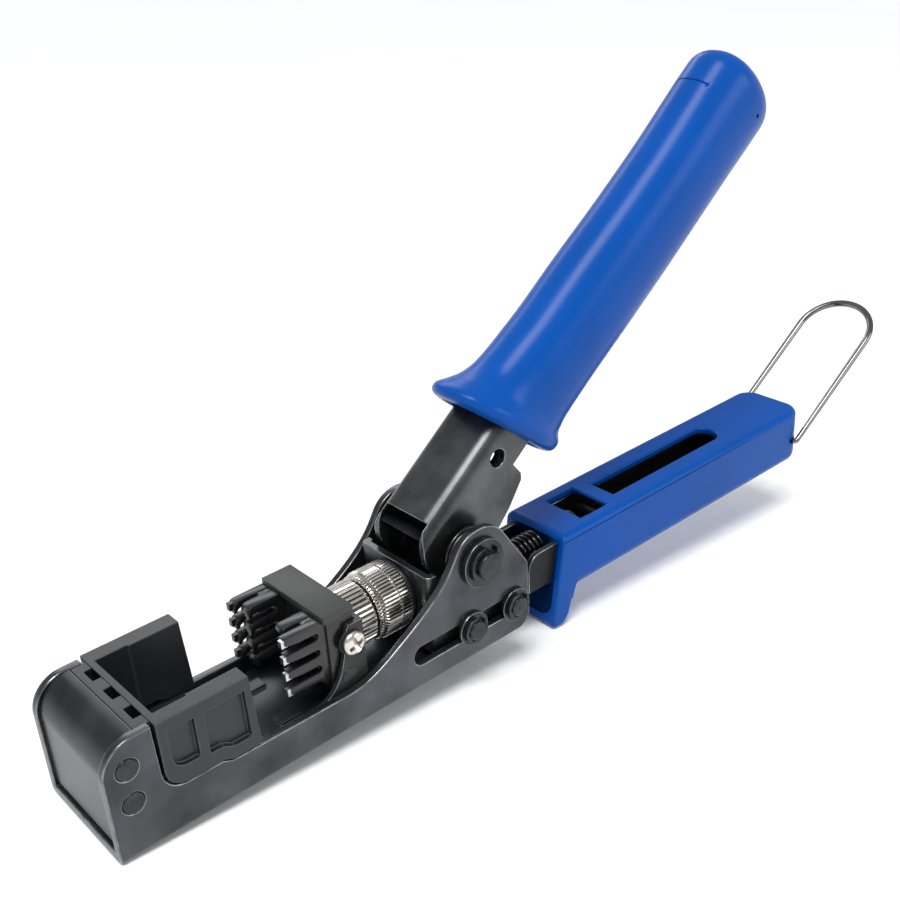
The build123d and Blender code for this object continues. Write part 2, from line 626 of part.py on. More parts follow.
with BuildPart() as head_bracket:
    with BuildSketch(side_plane(BRACKET_OUTSIDE)):
        with BuildLine():
            Polyline(*on_side([(54.6, 22.0), (55.2, 22.9), (BRACKET_BACK, 22.9), (BRACKET_BACK, 6.4),
                               (45.6, 6.4), (45.6, 7.2)]))
            Spline(*on_side([(45.6, 7.2), (50.4, 9.6), (53.0, 14.6), (54.6, 22.0)]))
        make_face()
    extrude(amount=2 * BRACKET_OUTSIDE)
    with BuildSketch(cross_plane(BRACKET_WEB_FRONT)):
        Rectangle(2 * BRACKET_INSIDE, 80)
    extrude(amount=-40, mode=Mode.SUBTRACT)
    with BuildSketch(side_plane(BRACKET_OUTSIDE)):
        with Locations(*on_side([SCREW_PLACE, STUD_PLACE])):
            Circle(FASTENER_RADIUS + RIVET_GAP)
    extrude(amount=2 * BRACKET_OUTSIDE, mode=Mode.SUBTRACT)
    with BuildSketch(cross_plane(BRACKET_WEB_FRONT - 1)):
        with Locations((0, ADJUSTER_UP)):
            Circle(STEM_RADIUS + 0.02)
    extrude(amount=4, mode=Mode.SUBTRACT)
save(head_bracket, "head_bracket")

OUTER_PRONG = (8.3, COMB_OUTSIDE)
INNER_PRONG = (COMB_INSIDE, 7.3)
PRONG_SLOT_END = 46.2
BLADE_SHEET = 1.2
BLADE_TIP = 40.9
BLADE_MIDDLE = 9.15
row_tops = [FINGER_TOP - row * WIRE_PITCH for row in range(FINGER_ROWS)]

with BuildPart() as punch_block:
    with BuildSketch(side_plane(BLOCK_HALF_WIDTH)):
        with BuildLine():
            Polyline(*on_side([(BLOCK_FRONT, BLOCK_TOP), (BLOCK_BACK, BLOCK_TOP),
                               (BLOCK_BACK, BLOCK_BOTTOM), (BLOCK_FRONT + 1.6, BLOCK_BOTTOM),
                               (BLOCK_FRONT, BLOCK_BOTTOM + 2.4)]), close=True)
        make_face()
    extrude(amount=2 * BLOCK_HALF_WIDTH)
    for top in row_tops:
        with BuildSketch(Plane.XY.offset(top)):
            for side in (-1, 1):
                outer_middle = side * (OUTER_PRONG[0] + OUTER_PRONG[1]) / 2
                inner_middle = side * (INNER_PRONG[0] + INNER_PRONG[1]) / 2
                comb_middle = side * (COMB_OUTSIDE + COMB_INSIDE) / 2
                with Locations((behind(FINGER_TIP), outer_middle)):
                    Rectangle(BLOCK_FRONT - FINGER_TIP + 0.5, OUTER_PRONG[1] - OUTER_PRONG[0],
                              align=(Align.MIN, Align.CENTER))
                with Locations((behind(FINGER_TIP), inner_middle)):
                    Rectangle(BLOCK_FRONT - FINGER_TIP + 0.5, INNER_PRONG[1] - INNER_PRONG[0],
                              align=(Align.MIN, Align.CENTER))
                with Locations((behind(PRONG_SLOT_END), comb_middle)):
                    Rectangle(BLOCK_FRONT - PRONG_SLOT_END + 0.5, COMB_OUTSIDE - COMB_INSIDE,
                              align=(Align.MIN, Align.CENTER))
        extrude(amount=-FINGER_HEIGHT)
    # seats for the blades in the outer prongs
    with BuildSketch(cross_plane(FINGER_TIP - 1)):
        with Locations(*[(side * BLADE_MIDDLE, top - FINGER_HEIGHT / 2) for side in (-1, 1) for top in row_tops]):
            Rectangle(BLADE_SHEET, 1.7)
    extrude(amount=BLOCK_FRONT - FINGER_TIP + 3, mode=Mode.SUBTRACT)
    # screw and stud holes from both sides, and the stem's socket
    with BuildSketch(side_plane(BLOCK_HALF_WIDTH)):
        with Locations(*on_side([SCREW_PLACE, STUD_PLACE])):
            Circle(FASTENER_RADIUS + RIVET_GAP)
    extrude(amount=5.2, mode=Mode.SUBTRACT)
    with BuildSketch(side_plane(-BLOCK_HALF_WIDTH + 5.2)):
        with Locations(*on_side([SCREW_PLACE, STUD_PLACE])):
            Circle(FASTENER_RADIUS + RIVET_GAP)
    extrude(amount=5.2, mode=Mode.SUBTRACT)
save(punch_block, "punch_block")

# blades: square tongues bedded in the outer prongs, showing at the tips
for name, side in (("near_blades", -1), ("far_blades", 1)):
    with BuildPart() as blades:
        with BuildSketch(cross_plane(BLADE_TIP)):
            with Locations(*[(side * BLADE_MIDDLE, top - FINGER_HEIGHT / 2) for top in row_tops]):
                Rectangle(BLADE_SHEET - 0.04, 1.66)
        extrude(amount=BLOCK_FRONT - FINGER_TIP + 2.9)
    save(blades, name)


def side_fasteners(place, head_radius, head_height, shank):
    """A round-headed fastener through each cheek of the head bracket."""
    with BuildPart() as pair:
        with BuildSketch(side_plane(-BRACKET_OUTSIDE - RIVET_GAP)):
            with Locations(*on_side([place])):
                Circle(head_radius)
        extrude(amount=head_height)
        chamfer(pair.edges().group_by(Axis.Y)[0], length=head_height * 0.6)
        with BuildSketch(side_plane(-BRACKET_OUTSIDE - RIVET_GAP)):
            with Locations(*on_side([place])):
                Circle(FASTENER_RADIUS)
        extrude(amount=-shank)
    return pair


with BuildPart() as block_screws:
    add(side_fasteners(SCREW_PLACE, SCREW_HEAD_RADIUS, SCREW_HEAD_HEIGHT, 5.0).part)
    # cross recess
    with BuildSketch(side_plane(-BRACKET_OUTSIDE - SCREW_HEAD_HEIGHT)):
        with Locations(*on_side([SCREW_PLACE])):
            Rectangle(2.6, 0.7, rotation=20)
            Rectangle(0.7, 2.6, rotation=20)
    extrude(amount=-0.9, both=True, mode=Mode.SUBTRACT)
    mirror(about=Plane.XZ)
save(block_screws, "block_screws")

with BuildPart() as bracket_studs:
    add(side_fasteners(STUD_PLACE, 1.9, 0.15, 4.0).part)
    mirror(about=Plane.XZ)
save(bracket_studs, "bracket_studs")

# --- lower handle ------------------------------------------------------------------------------

with BuildPart() as handle_core:
    with BuildSketch(side_plane(CORE_OUTSIDE)):
        with BuildLine():
            Polyline(*on_side([(CORE_FRONT, FRAME_SHEET), (CORE_FRONT, CORE_TOP - 4.0)]))
            JernArc((behind(CORE_FRONT), CORE_TOP - 4.0), (0, 1), 4.0, -90)
            Polyline(*on_side([(CORE_FRONT + 4.0, CORE_TOP), (CORE_BACK, CORE_TOP), (CORE_BACK, FRAME_SHEET),
                               (CORE_FRONT, FRAME_SHEET)]))
        make_face()
    extrude(amount=2 * CORE_OUTSIDE)
    with BuildSketch(cross_plane(CORE_FRONT - 1)):
        with Locations((0, FRAME_SHEET + CORE_SHEET)):
            Rectangle(2 * (CORE_OUTSIDE - CORE_SHEET), 40, align=(Align.CENTER, Align.MIN))
    extrude(amount=CORE_BACK - CORE_FRONT + 2, mode=Mode.SUBTRACT)
    # tongue that lies on the frame's floor under the carriage
    with BuildSketch(Plane.XY.offset(FRAME_SHEET)):
        with Locations((behind(77.0), 0)):
            Rectangle(CORE_FRONT - 77.0 + 1, 13.0, align=(Align.MIN, Align.CENTER))
    extrude(amount=CORE_SHEET)
    with Locations(*[(behind(d), 0, FRAME_SHEET + CORE_SHEET / 2) for d in CORE_RIVETS_BACK]):
        Hole(radius=CORE_RIVET_RADIUS + RIVET_GAP, depth=CORE_SHEET * 2)
    with BuildSketch(side_plane(CORE_OUTSIDE)):
        with Locations((behind(ANCHOR_BACK), PIN_UP)):
            Circle(ANCHOR_RADIUS + 0.02)
    extrude(amount=2 * CORE_OUTSIDE, mode=Mode.SUBTRACT)
save(handle_core, "handle_core")

with BuildPart() as core_rivets:
    with BuildSketch(Plane.XY.offset(0)):
        with Locations(*[(behind(d), 0) for d in CORE_RIVETS_BACK]):
            Circle(CORE_RIVET_RADIUS)
    extrude(amount=FRAME_SHEET + CORE_SHEET)
    with BuildSketch(Plane.XY.offset(FRAME_SHEET + CORE_SHEET)):
        with Locations(*[(behind(d), 0) for d in CORE_RIVETS_BACK]):
            Circle(2.2)
    extrude(amount=0.35)
save(core_rivets, "core_rivets")

FLANGE_BOTTOM = -10.0
FLANGE_BACK = 121.0
TOLERANCE = 0.01

with BuildPart() as lower_grip:
    with BuildSketch(side_plane(HANDLE_HALF_WIDTH)):
        with BuildLine():
            Polyline(*on_side([(118.6, HANDLE_TOP), (HANDLE_BACK, HANDLE_TOP), (HANDLE_BACK, HANDLE_BOTTOM),
                               (FLANGE_BACK + 0.6, HANDLE_BOTTOM), (FLANGE_BACK - 1.4, FLANGE_BOTTOM + 2),
                               (117.6, FLANGE_BOTTOM), (114.0, FLANGE_BOTTOM)]), close=True)
        make_face()
    extrude(amount=2 * HANDLE_HALF_WIDTH)
    # rounded back corners, flange corners, then the long edges above and below
    fillet(lower_grip.faces().sort_by(Axis.X)[-1].edges().filter_by(Axis.Z), radius=5.0)
    fillet(lower_grip.edges().filter_by(Axis.Y).group_by(Axis.Z)[0], radius=1.2)
    fillet(lower_grip.faces().sort_by(Axis.Z)[-1].edges(), radius=1.8)
    fillet(lower_grip.edges().filter_by(lambda e: e.center().X > behind(FLANGE_BACK)
                                        and abs(e.center().Z - HANDLE_BOTTOM) < TOLERANCE), radius=3.0)
    # cavity for the core, open at the front
    with BuildSketch(cross_plane(110.0)):
        with Locations((0, FRAME_SHEET - 0.1)):
            Rectangle(2 * CORE_OUTSIDE + 0.2, CORE_TOP - FRAME_SHEET + 0.2, align=(Align.CENTER, Align.MIN))
    extrude(amount=CORE_BACK - 110.0 + 1, mode=Mode.SUBTRACT)
    with BuildSketch(cross_plane(110.0)):
        with Locations((0, 2.4)):
            RectangleRounded(2 * CORE_OUTSIDE + 0.2, 18.2, radius=2.5)
    extrude(amount=8.6, mode=Mode.SUBTRACT)
    # headroom over the return spring
    with BuildSketch(cross_plane(110.0)):
        with Locations((0, PIN_UP)):
            Rectangle(9.0, 8.4)
    extrude(amount=COIL_END - 110.0 + 12, mode=Mode.SUBTRACT)
    # window and long slot in the top
    with BuildSketch(Plane.XY.offset(HANDLE_TOP)):
        with Locations((behind(132.6), 0)):
            Rectangle(9.0, 11.6)
        with BuildLine():
            Polyline((behind(181.0), 3.7), (behind(141.7), 3.7), (behind(141.7), -3.7), (behind(181.0), -3.7))
            ThreePointArc((behind(181.0), -3.7), (behind(184.7), 0), (behind(181.0), 3.7))
        make_face()
    extrude(amount=-4, mode=Mode.SUBTRACT)
    # holes for the bail's feet
    with BuildSketch(side_plane(HANDLE_HALF_WIDTH)):
        with Locations((behind(BAIL_BACK), BAIL_UP)):
            Circle(BAIL_WIRE + 0.06)
    extrude(amount=2 * HANDLE_HALF_WIDTH, mode=Mode.SUBTRACT)
save(lower_grip, "lower_grip")

# --- return spring and its anchor --------------------------------------------------------------

with BuildPart() as return_spring:
    with BuildSketch(cross_plane(COIL_START)):
        with Locations((0, PIN_UP)):
            Circle(COIL_RADIUS + SPRING_WIRE)
            Circle(COIL_RADIUS - SPRING_WIRE, mode=Mode.SUBTRACT)
    extrude(amount=COIL_END - COIL_START)
save(return_spring, "return_spring")

with BuildPart() as spring_anchor:
    with BuildSketch(side_plane(CORE_OUTSIDE)):
        with Locations((behind(ANCHOR_BACK), PIN_UP)):
            Circle(ANCHOR_RADIUS)
    extrude(amount=2 * CORE_OUTSIDE)
save(spring_anchor, "spring_anchor")

# --- wire bail ---------------------------------------------------------------------------------

FOOT_END = 5.4
bail_turn = math.radians(BAIL_ANGLE)
bail_plane = Plane(origin=(behind(BAIL_BACK), 0, BAIL_UP),
                   x_dir=(math.cos(bail_turn), 0, math.sin(bail_turn)),
                   z_dir=(math.sin(bail_turn), 0, -math.cos(bail_turn)))

with BuildPart() as wire_bail:
    with BuildLine(bail_plane):
        Line((0, -FOOT_END), (0, -BAIL_HALF_WIDTH + BAIL_CORNER))
        JernArc((0, -BAIL_HALF_WIDTH + BAIL_CORNER), (0, -1), BAIL_CORNER, 90)
        Line((BAIL_CORNER, -BAIL_HALF_WIDTH), (BAIL_LEG, -BAIL_HALF_WIDTH))
        ThreePointArc((BAIL_LEG, -BAIL_HALF_WIDTH), (BAIL_LEG + BAIL_HALF_WIDTH, 0),
                      (BAIL_LEG, BAIL_HALF_WIDTH))
        Line((BAIL_LEG, BAIL_HALF_WIDTH), (BAIL_CORNER, BAIL_HALF_WIDTH))
        JernArc((BAIL_CORNER, BAIL_HALF_WIDTH), (-1, 0), BAIL_CORNER, 90)
        Line((0, BAIL_HALF_WIDTH - BAIL_CORNER), (0, FOOT_END))
    with BuildSketch(Plane(origin=bail_plane.from_local_coords(Vector(0, -FOOT_END, 0)),
                           z_dir=(0, -1, 0))):
        Circle(BAIL_WIRE)
    sweep()
save(wire_bail, "wire_bail")
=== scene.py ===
import bpy
import bmesh
import json
import math
from mathutils import Matrix, Vector


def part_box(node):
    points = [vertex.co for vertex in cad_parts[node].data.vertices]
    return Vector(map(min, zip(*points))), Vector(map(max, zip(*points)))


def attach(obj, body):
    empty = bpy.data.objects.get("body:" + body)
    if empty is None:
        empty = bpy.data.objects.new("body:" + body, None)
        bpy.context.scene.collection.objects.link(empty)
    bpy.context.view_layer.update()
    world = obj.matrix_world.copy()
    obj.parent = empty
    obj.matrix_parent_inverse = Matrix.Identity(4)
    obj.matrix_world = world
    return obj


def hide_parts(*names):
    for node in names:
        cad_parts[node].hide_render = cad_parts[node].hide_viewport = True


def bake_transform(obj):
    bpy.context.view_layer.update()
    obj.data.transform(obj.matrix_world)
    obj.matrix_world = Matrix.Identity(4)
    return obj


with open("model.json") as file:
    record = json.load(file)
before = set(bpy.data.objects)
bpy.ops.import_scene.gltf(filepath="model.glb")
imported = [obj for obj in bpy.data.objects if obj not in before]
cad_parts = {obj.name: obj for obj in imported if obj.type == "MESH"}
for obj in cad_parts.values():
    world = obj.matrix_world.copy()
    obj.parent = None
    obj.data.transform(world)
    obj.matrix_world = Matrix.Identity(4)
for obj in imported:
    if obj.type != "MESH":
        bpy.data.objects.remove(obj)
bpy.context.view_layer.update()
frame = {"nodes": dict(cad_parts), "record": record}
NODES = frame["nodes"]
BODY_OF = {n: b for b, members in frame["record"]["behaviour"]["bodies"].items() for n in members}
MM = 0.001


# --- materials ---------------------------------------------------------------------------------

SCRATCH_SCALE = (120, 2600, 2600)  # long along the tool, fine across it


def material(name, color, rough, metallic=0.0, grain=0.15, grain_size=0.4, bump=0.02, patches=0.25,
             patch_size=9.0, tint=None, specular=0.5, scratches=0.0, rough_spread=0.08):
    """A surface with fine grain, broad patches and optional hairline scratches.

    grain_size, patch_size and bump are in millimetres; tint is the colour of the lighter patches."""
    mat = bpy.data.materials.new(name)
    mat.use_nodes = True
    tree = mat.node_tree
    nodes, links = tree.nodes, tree.links
    shader = nodes["Principled BSDF"]
    shader.inputs["Metallic"].default_value = metallic
    shader.inputs["Specular IOR Level"].default_value = specular
    place = nodes.new("ShaderNodeTexCoord")
    fine = nodes.new("ShaderNodeTexNoise")
    fine.inputs["Scale"].default_value = 1000 / grain_size
    fine.inputs["Detail"].default_value = 4
    links.new(place.outputs["Object"], fine.inputs["Vector"])
    broad = nodes.new("ShaderNodeTexNoise")
    broad.inputs["Scale"].default_value = 1000 / patch_size
    broad.inputs["Detail"].default_value = 3
    links.new(place.outputs["Object"], broad.inputs["Vector"])
    ramp = nodes.new("ShaderNodeValToRGB")
    ramp.color_ramp.elements[0].position = 0.32
    ramp.color_ramp.elements[1].position = 0.68
    low = [c * (1 - patches) for c in color]
    high = list(tint) if tint else [min(1, c * (1 + patches)) for c in color]
    ramp.color_ramp.elements[0].color = (*low, 1)
    ramp.color_ramp.elements[1].color = (*high, 1)
    links.new(broad.outputs["Fac"], ramp.inputs["Fac"])
    shade = nodes.new("ShaderNodeMix")
    shade.data_type = "RGBA"
    shade.blend_type = "MULTIPLY"
    shade.inputs["Factor"].default_value = grain
    links.new(ramp.outputs["Color"], shade.inputs["A"])
    links.new(fine.outputs["Fac"], shade.inputs["B"])
    links.new(shade.outputs["Result"], shader.inputs["Base Color"])
    rough_map = nodes.new("ShaderNodeMapRange")
    rough_map.inputs["To Min"].default_value = max(0.02, rough - rough_spread)
    rough_map.inputs["To Max"].default_value = rough + rough_spread
    links.new(broad.outputs["Fac"], rough_map.inputs["Value"])
    links.new(rough_map.outputs["Result"], shader.inputs["Roughness"])
    height = fine.outputs["Fac"]
    if scratches:
        stretch = nodes.new("ShaderNodeMapping")
        stretch.inputs["Scale"].default_value = SCRATCH_SCALE
        links.new(place.outputs["Object"], stretch.inputs["Vector"])
        hair = nodes.new("ShaderNodeTexNoise")
        hair.inputs["Scale"].default_value = 1.0
        hair.inputs["Detail"].default_value = 2
        links.new(stretch.outputs["Vector"], hair.inputs["Vector"])
        both = nodes.new("ShaderNodeMath")
        both.operation = "MULTIPLY_ADD"
        both.inputs[1].default_value = scratches
        links.new(hair.outputs["Fac"], both.inputs[0])
        links.new(fine.outputs["Fac"], both.inputs[2])
        height = both.outputs["Value"]
    bumps = nodes.new("ShaderNodeBump")
    bumps.inputs["Strength"].default_value = 0.6
    bumps.inputs["Distance"].default_value = bump * MM
    links.new(height, bumps.inputs["Height"])
    links.new(bumps.outputs["Normal"], shader.inputs["Normal"])
    return mat


STEEL = material("black_steel_sheet", (0.056, 0.060, 0.066), 0.26, metallic=0.85, tint=(0.104, 0.110, 0.119),
                 grain_size=0.25, bump=0.012, patches=0.3, patch_size=14, scratches=0.5)
# Lighter, glossier steel on the rounded edges: a painted highlight along the rims.
STEEL_EDGE_PAINTED_HIGHLIGHT = material("painted_highlight_steel_edge", (0.22, 0.225, 0.235), 0.22, metallic=0.9, grain_size=0.2,
                      bump=0.01, patches=0.35, patch_size=3)
# A darker copy of the sheet steel for the nose cover: painted shade for the front, which faces darker
# surroundings.
COVER_PAINTED_SHADE = material("nose_cover_steel_painted_shade", (0.020, 0.021, 0.023), 0.30, metallic=0.6, tint=(0.040, 0.042, 0.046),
                 grain_size=0.25, bump=0.012, patches=0.3, patch_size=12, scratches=0.4)
LEVER = material("lever_steel_sheet", (0.062, 0.064, 0.068), 0.28, metallic=0.85, tint=(0.118, 0.121, 0.127),
                 grain_size=0.25, bump=0.014, patches=0.3, patch_size=11, scratches=0.6)
OLIVE = material("olive_black_steel", (0.030, 0.031, 0.029), 0.36, metallic=0.5, grain_size=0.25, bump=0.012,
                 patches=0.25, patch_size=8)
PIN = material("turned_dark_steel", (0.042, 0.043, 0.045), 0.27, metallic=0.75, grain_size=0.2, bump=0.01,
               patches=0.3, patch_size=3)
NEST = material("charcoal_plastic", (0.012, 0.013, 0.016), 0.38, grain_size=0.3, bump=0.02, patches=0.15,
                patch_size=10)
# Lighter charcoal on the moulding's rounded edges: a painted highlight along the rims.
NEST_EDGE_PAINTED_HIGHLIGHT = material("charcoal_plastic_painted_highlight_edge", (0.045, 0.047, 0.053), 0.30, grain_size=0.3, bump=0.01,
                     patches=0.15, patch_size=4)
PUNCH = material("black_punch_plastic", (0.009, 0.009, 0.010), 0.28, grain_size=0.3, bump=0.012, patches=0.2,
                 patch_size=6, specular=0.6)
CAP = material("satin_cap_plastic", (0.030, 0.034, 0.030), 0.46, grain_size=0.25, bump=0.02, patches=0.12,
               patch_size=7)
BLUE = material("blue_grip_plastic", (0.001, 0.063, 0.312), 0.27, grain_size=0.45, bump=0.03, patches=0.07,
                patch_size=25, grain=0.06, specular=0.13, rough_spread=0.03)
NICKEL = material("warm_nickel_plate", (0.74, 0.71, 0.65), 0.24, metallic=1.0, grain_size=0.15, bump=0.002,
                  patches=0.15, patch_size=2.5)
BRIGHT = material("bright_ground_steel", (0.72, 0.73, 0.74), 0.30, metallic=1.0, grain_size=0.15, bump=0.01,
                  patches=0.12, patch_size=1.5)
SPRING = material("oiled_spring_wire", (0.060, 0.060, 0.063), 0.20, metallic=0.9, grain_size=0.2, bump=0.006,
                  patches=0.3, patch_size=2)
CHROME = material("bright_chrome_wire", (0.19, 0.19, 0.185), 0.13, metallic=1.0, grain_size=0.2, bump=0.004,
                  patches=0.1, patch_size=5)
# Darker nickel for the knurl's grooves: grime in them, and painted shade where they fall in shadow.
GROOVE_GRIME_AND_SHADE = material("nickel_groove_grime_and_painted_shade", (0.16, 0.15, 0.13), 0.34, metallic=0.9, grain_size=0.15, bump=0.004,
                  patches=0.3, patch_size=1.5)
INNER = material("shaded_inner_steel", (0.011, 0.011, 0.011), 0.46, metallic=0.2, grain_size=0.25, bump=0.012,
                 patches=0.25, patch_size=8, specular=0.25)
# Near-black for the inside of the grip's small hole and the ring round the near screw head: painted shade.
PAINTED_SHADE_BLACK = material("painted_shade_inside", (0.006, 0.006, 0.007), 0.6, grain_size=0.5, bump=0.01)


# --- making pieces -----------------------------------------------------------------------------

def link(obj):
    """Puts a new object in the scene."""
    bpy.context.scene.collection.objects.link(obj)
    return obj


def finish_piece(obj, body, nodes=(), smooth_angle=35):
    """Shades a new piece, puts it on its body and hides the CAD nodes it stands for."""
    obj.data.shade_smooth()
    obj.data.set_sharp_from_angle(angle=math.radians(smooth_angle))
    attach(obj, body)
    if nodes:
        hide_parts(*nodes)
    return obj


def from_bmesh(name, bm, *mats):
    """A new object from a bmesh, which is freed."""
    mesh = bpy.data.meshes.new(name)
    bm.to_mesh(mesh)
    bm.free()
    obj = link(bpy.data.objects.new(name, mesh))
    for mat in mats:
        obj.data.materials.append(mat)
    return obj


WELD_DISTANCE = 2e-6  # joins the CAD mesh's split corners
FLAT_ANGLE = 0.6  # degrees; smaller angles between facets are taken as flat


def soften(node, name, width, mat, edge_highlight_mat=None, angle=28, segments=2):
    """A copy of a CAD node's mesh with its edges rounded; the rounding takes the edge material, a lighter
    colour that paints a highlight along the edges.

    width is in millimetres; angle, in degrees, is the least that counts as an edge."""
    bm = bmesh.new()
    bm.from_mesh(NODES[node].data)
    bmesh.ops.remove_doubles(bm, verts=bm.verts, dist=WELD_DISTANCE)
    bmesh.ops.dissolve_limit(bm, angle_limit=math.radians(FLAT_ANGLE), verts=bm.verts, edges=bm.edges)
    for face in bm.faces:
        face.material_index = 0
    sharp = [e for e in bm.edges if len(e.link_faces) == 2 and e.calc_face_angle(0) > math.radians(angle)]
    bmesh.ops.bevel(bm, geom=sharp, offset=width * MM, offset_type="OFFSET", segments=segments, profile=0.5,
                    affect="EDGES", clamp_overlap=False, material=1 if edge_highlight_mat else -1, loop_slide=True)
    mats = [mat] + ([edge_highlight_mat] if edge_highlight_mat else [])
    obj = from_bmesh(name, bm, *mats)
    finish_piece(obj, BODY_OF[node], (node,))
    weight = obj.modifiers.new("flat_faces", "WEIGHTED_NORMAL")
    weight.keep_sharp = True
    weight.weight = 100
    return obj


soften("frame_channel", "frame_sheet", 0.28, STEEL, STEEL_EDGE_PAINTED_HIGHLIGHT)
soften("front_cover", "nose_cover", 0.15, COVER_PAINTED_SHADE, STEEL_EDGE_PAINTED_HIGHLIGHT)
soften("jack_nest", "jack_nest_moulding", 0.18, NEST, NEST_EDGE_PAINTED_HIGHLIGHT)
soften("rear_tray", "floor_tray", 0.15, NEST, NEST_EDGE_PAINTED_HIGHLIGHT)
soften("front_rivets", "nose_rivets", 0.1, PIN)
soften("pivot_pin", "main_pin", 0.12, PIN)
soften("pivot_washer", "main_washer", 0.12, PIN, STEEL_EDGE_PAINTED_HIGHLIGHT)
soften("pivot_clip", "main_clip", 0.08, PIN)
soften("handle_core", "lower_core", 0.2, INNER, STEEL_EDGE_PAINTED_HIGHLIGHT)
soften("core_rivets", "tongue_rivets", 0.15, PIN)
soften("lower_grip", "lower_grip_moulding", 0.6, BLUE, segments=3)
soften("spring_anchor", "anchor_pin", 0.1, PIN)
soften("lever_channel", "lever_sheet", 0.2, LEVER, STEEL_EDGE_PAINTED_HIGHLIGHT)
soften("lever_tang", "lever_inner_sheet", 0.2, INNER)
soften("carriage_bracket", "carriage_sheet", 0.2, STEEL, STEEL_EDGE_PAINTED_HIGHLIGHT)
soften("carriage_pins", "slide_pins", 0.12, PIN)
soften("carriage_washers", "slide_washers", 0.12, PIN, STEEL_EDGE_PAINTED_HIGHLIGHT)
soften("carriage_clips", "slide_clips", 0.08, PIN)
soften("knob_seat", "knob_seat_ring", 0.15, PIN)
soften("knob_retainer", "knob_ring", 0.08, PIN)
soften("head_bracket", "punch_bracket", 0.12, OLIVE, STEEL_EDGE_PAINTED_HIGHLIGHT)
soften("near_blades", "near_blade_steel", 0.05, BRIGHT)
soften("far_blades", "far_blade_steel", 0.05, PIN)
soften("bracket_studs", "cheek_studs", 0.05, PIN)
soften("threaded_stem", "stem_rod", 0.1, BRIGHT)
bail = soften("wire_bail", "bail_wire", 0.02, CHROME, angle=60)
# the wire is a little thicker where it is clear of the grip
WIRE_FREE_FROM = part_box("lower_grip")[1].x + 0.6 * MM
WIRE_SWELL = 0.25
for vertex in bail.data.vertices:
    if vertex.co.x > WIRE_FREE_FROM:
        vertex.co += vertex.normal * WIRE_SWELL * MM


# --- upper grip --------------------------------------------------------------------------------

pin_low, pin_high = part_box("pivot_pin")
PIVOT = Vector(((pin_low.x + pin_high.x) / 2, 0, (pin_low.z + pin_high.z) / 2))
LEVER_TURN = math.radians(37.5)


def lever_point(u, w, y):
    """A point given along the lever, square to it and across the tool, in millimetres from the pivot."""
    c, s = math.cos(LEVER_TURN), math.sin(LEVER_TURN)
    return PIVOT + Vector((u * c - w * s, y, u * s + w * c)) * MM


def smooth_table(rows, steps):
    """Catmull-Rom interpolation of table rows, giving steps points between each two rows."""
    out = []
    for i in range(len(rows) - 1):
        before, a, b, after = rows[max(i - 1, 0)], rows[i], rows[i + 1], rows[min(i + 2, len(rows) - 1)]
        for k in range(steps):
            t = k / steps
            out.append([0.5 * (2 * q + (r - p) * t + (2 * p - 5 * q + 4 * r - z) * t * t
                               + (3 * q - p - 3 * r + z) * t ** 3)
                        for p, q, r, z in zip(before, a, b, after)])
    out.append(list(rows[-1]))
    return out


def skin(bm, rings, cap_start=True, cap_end=True):
    """Quads between closed rings of points."""
    made = [[bm.verts.new(p) for p in ring] for ring in rings]
    for a, b in zip(made, made[1:]):
        n = len(a)
        for i in range(n):
            bm.faces.new((a[i], a[(i + 1) % n], b[(i + 1) % n], b[i]))
    if cap_start:
        bm.faces.new(list(reversed(made[0])))
    if cap_end:
        bm.faces.new(made[-1])


# along the lever, half width, lowest and highest reach, lean of the section, squareness
GRIP_ROWS = [
    (27.2, 9.4, -8.4, 21.2, -0.22, 2.5), (27.6, 10.3, -9.4, 22.4, -0.22, 2.5),
    (28.3, 10.9, -10.0, 23.1, -0.22, 2.5), (29.3, 11.1, -10.2, 23.4, -0.22, 2.5),
    (30.4, 10.9, -10.1, 23.0, -0.22, 2.5), (31.6, 10.3, -9.8, 21.7, -0.20, 2.4),
    (33.2, 9.7, -9.3, 19.8, -0.15, 2.3), (35.5, 9.4, -8.9, 18.3, -0.08, 2.25),
    (39.0, 9.3, -8.5, 17.5, 0, 2.2), (45.0, 9.3, -8.3, 16.9, 0, 2.2),
    (52.0, 9.3, -8.3, 16.4, 0, 2.2), (66.0, 9.3, -8.7, 16.2, 0, 2.2),
    (82.0, 9.3, -8.9, 15.6, 0, 2.2), (98.0, 9.25, -8.8, 15.5, 0, 2.2), (110.0, 9.2, -8.9, 16.0, 0, 2.2),
    (116.4, 9.2, -9.0, 16.3, 0, 2.2), (116.9, 9.2, -9.0, 16.3, 0, 2.2), (122.7, 9.2, -9.0, 16.4, 0, 2.2)]
CAP_RADII = (4.3, 5.4, 6.7)  # of the end's rounding: at the sides, below, above
SEAM_AT, SEAM_HALF_WIDTH, SEAM_DEPTH = 116.65, 0.16, 0.5
SEAM_ARC = (35, 118)  # degrees round the section, from the side up over the top
RING = 112
LEAN_ABOUT = 4


def grip_ring(u, half, low, high, lean, square):
    """One section of the grip as a ring of points."""
    middle, reach = (low + high) / 2, (high - low) / 2
    ring = []
    for i in range(RING):
        turn = 2 * math.pi * i / RING
        cy, cw = math.cos(turn), math.sin(turn)
        y = math.copysign(abs(cy) ** (2 / square), cy) * half
        w = middle + math.copysign(abs(cw) ** (2 / square), cw) * reach
        in_seam = abs(u - SEAM_AT) < SEAM_HALF_WIDTH and SEAM_ARC[0] < math.degrees(turn) < SEAM_ARC[1]
        dent = SEAM_DEPTH if in_seam else 0
        ring.append(lever_point(u + lean * (w - LEAN_ABOUT), w - dent * cw, y - dent * cy))
    return ring


bm = bmesh.new()
rings = [grip_ring(*row) for row in smooth_table(GRIP_ROWS, 5)]
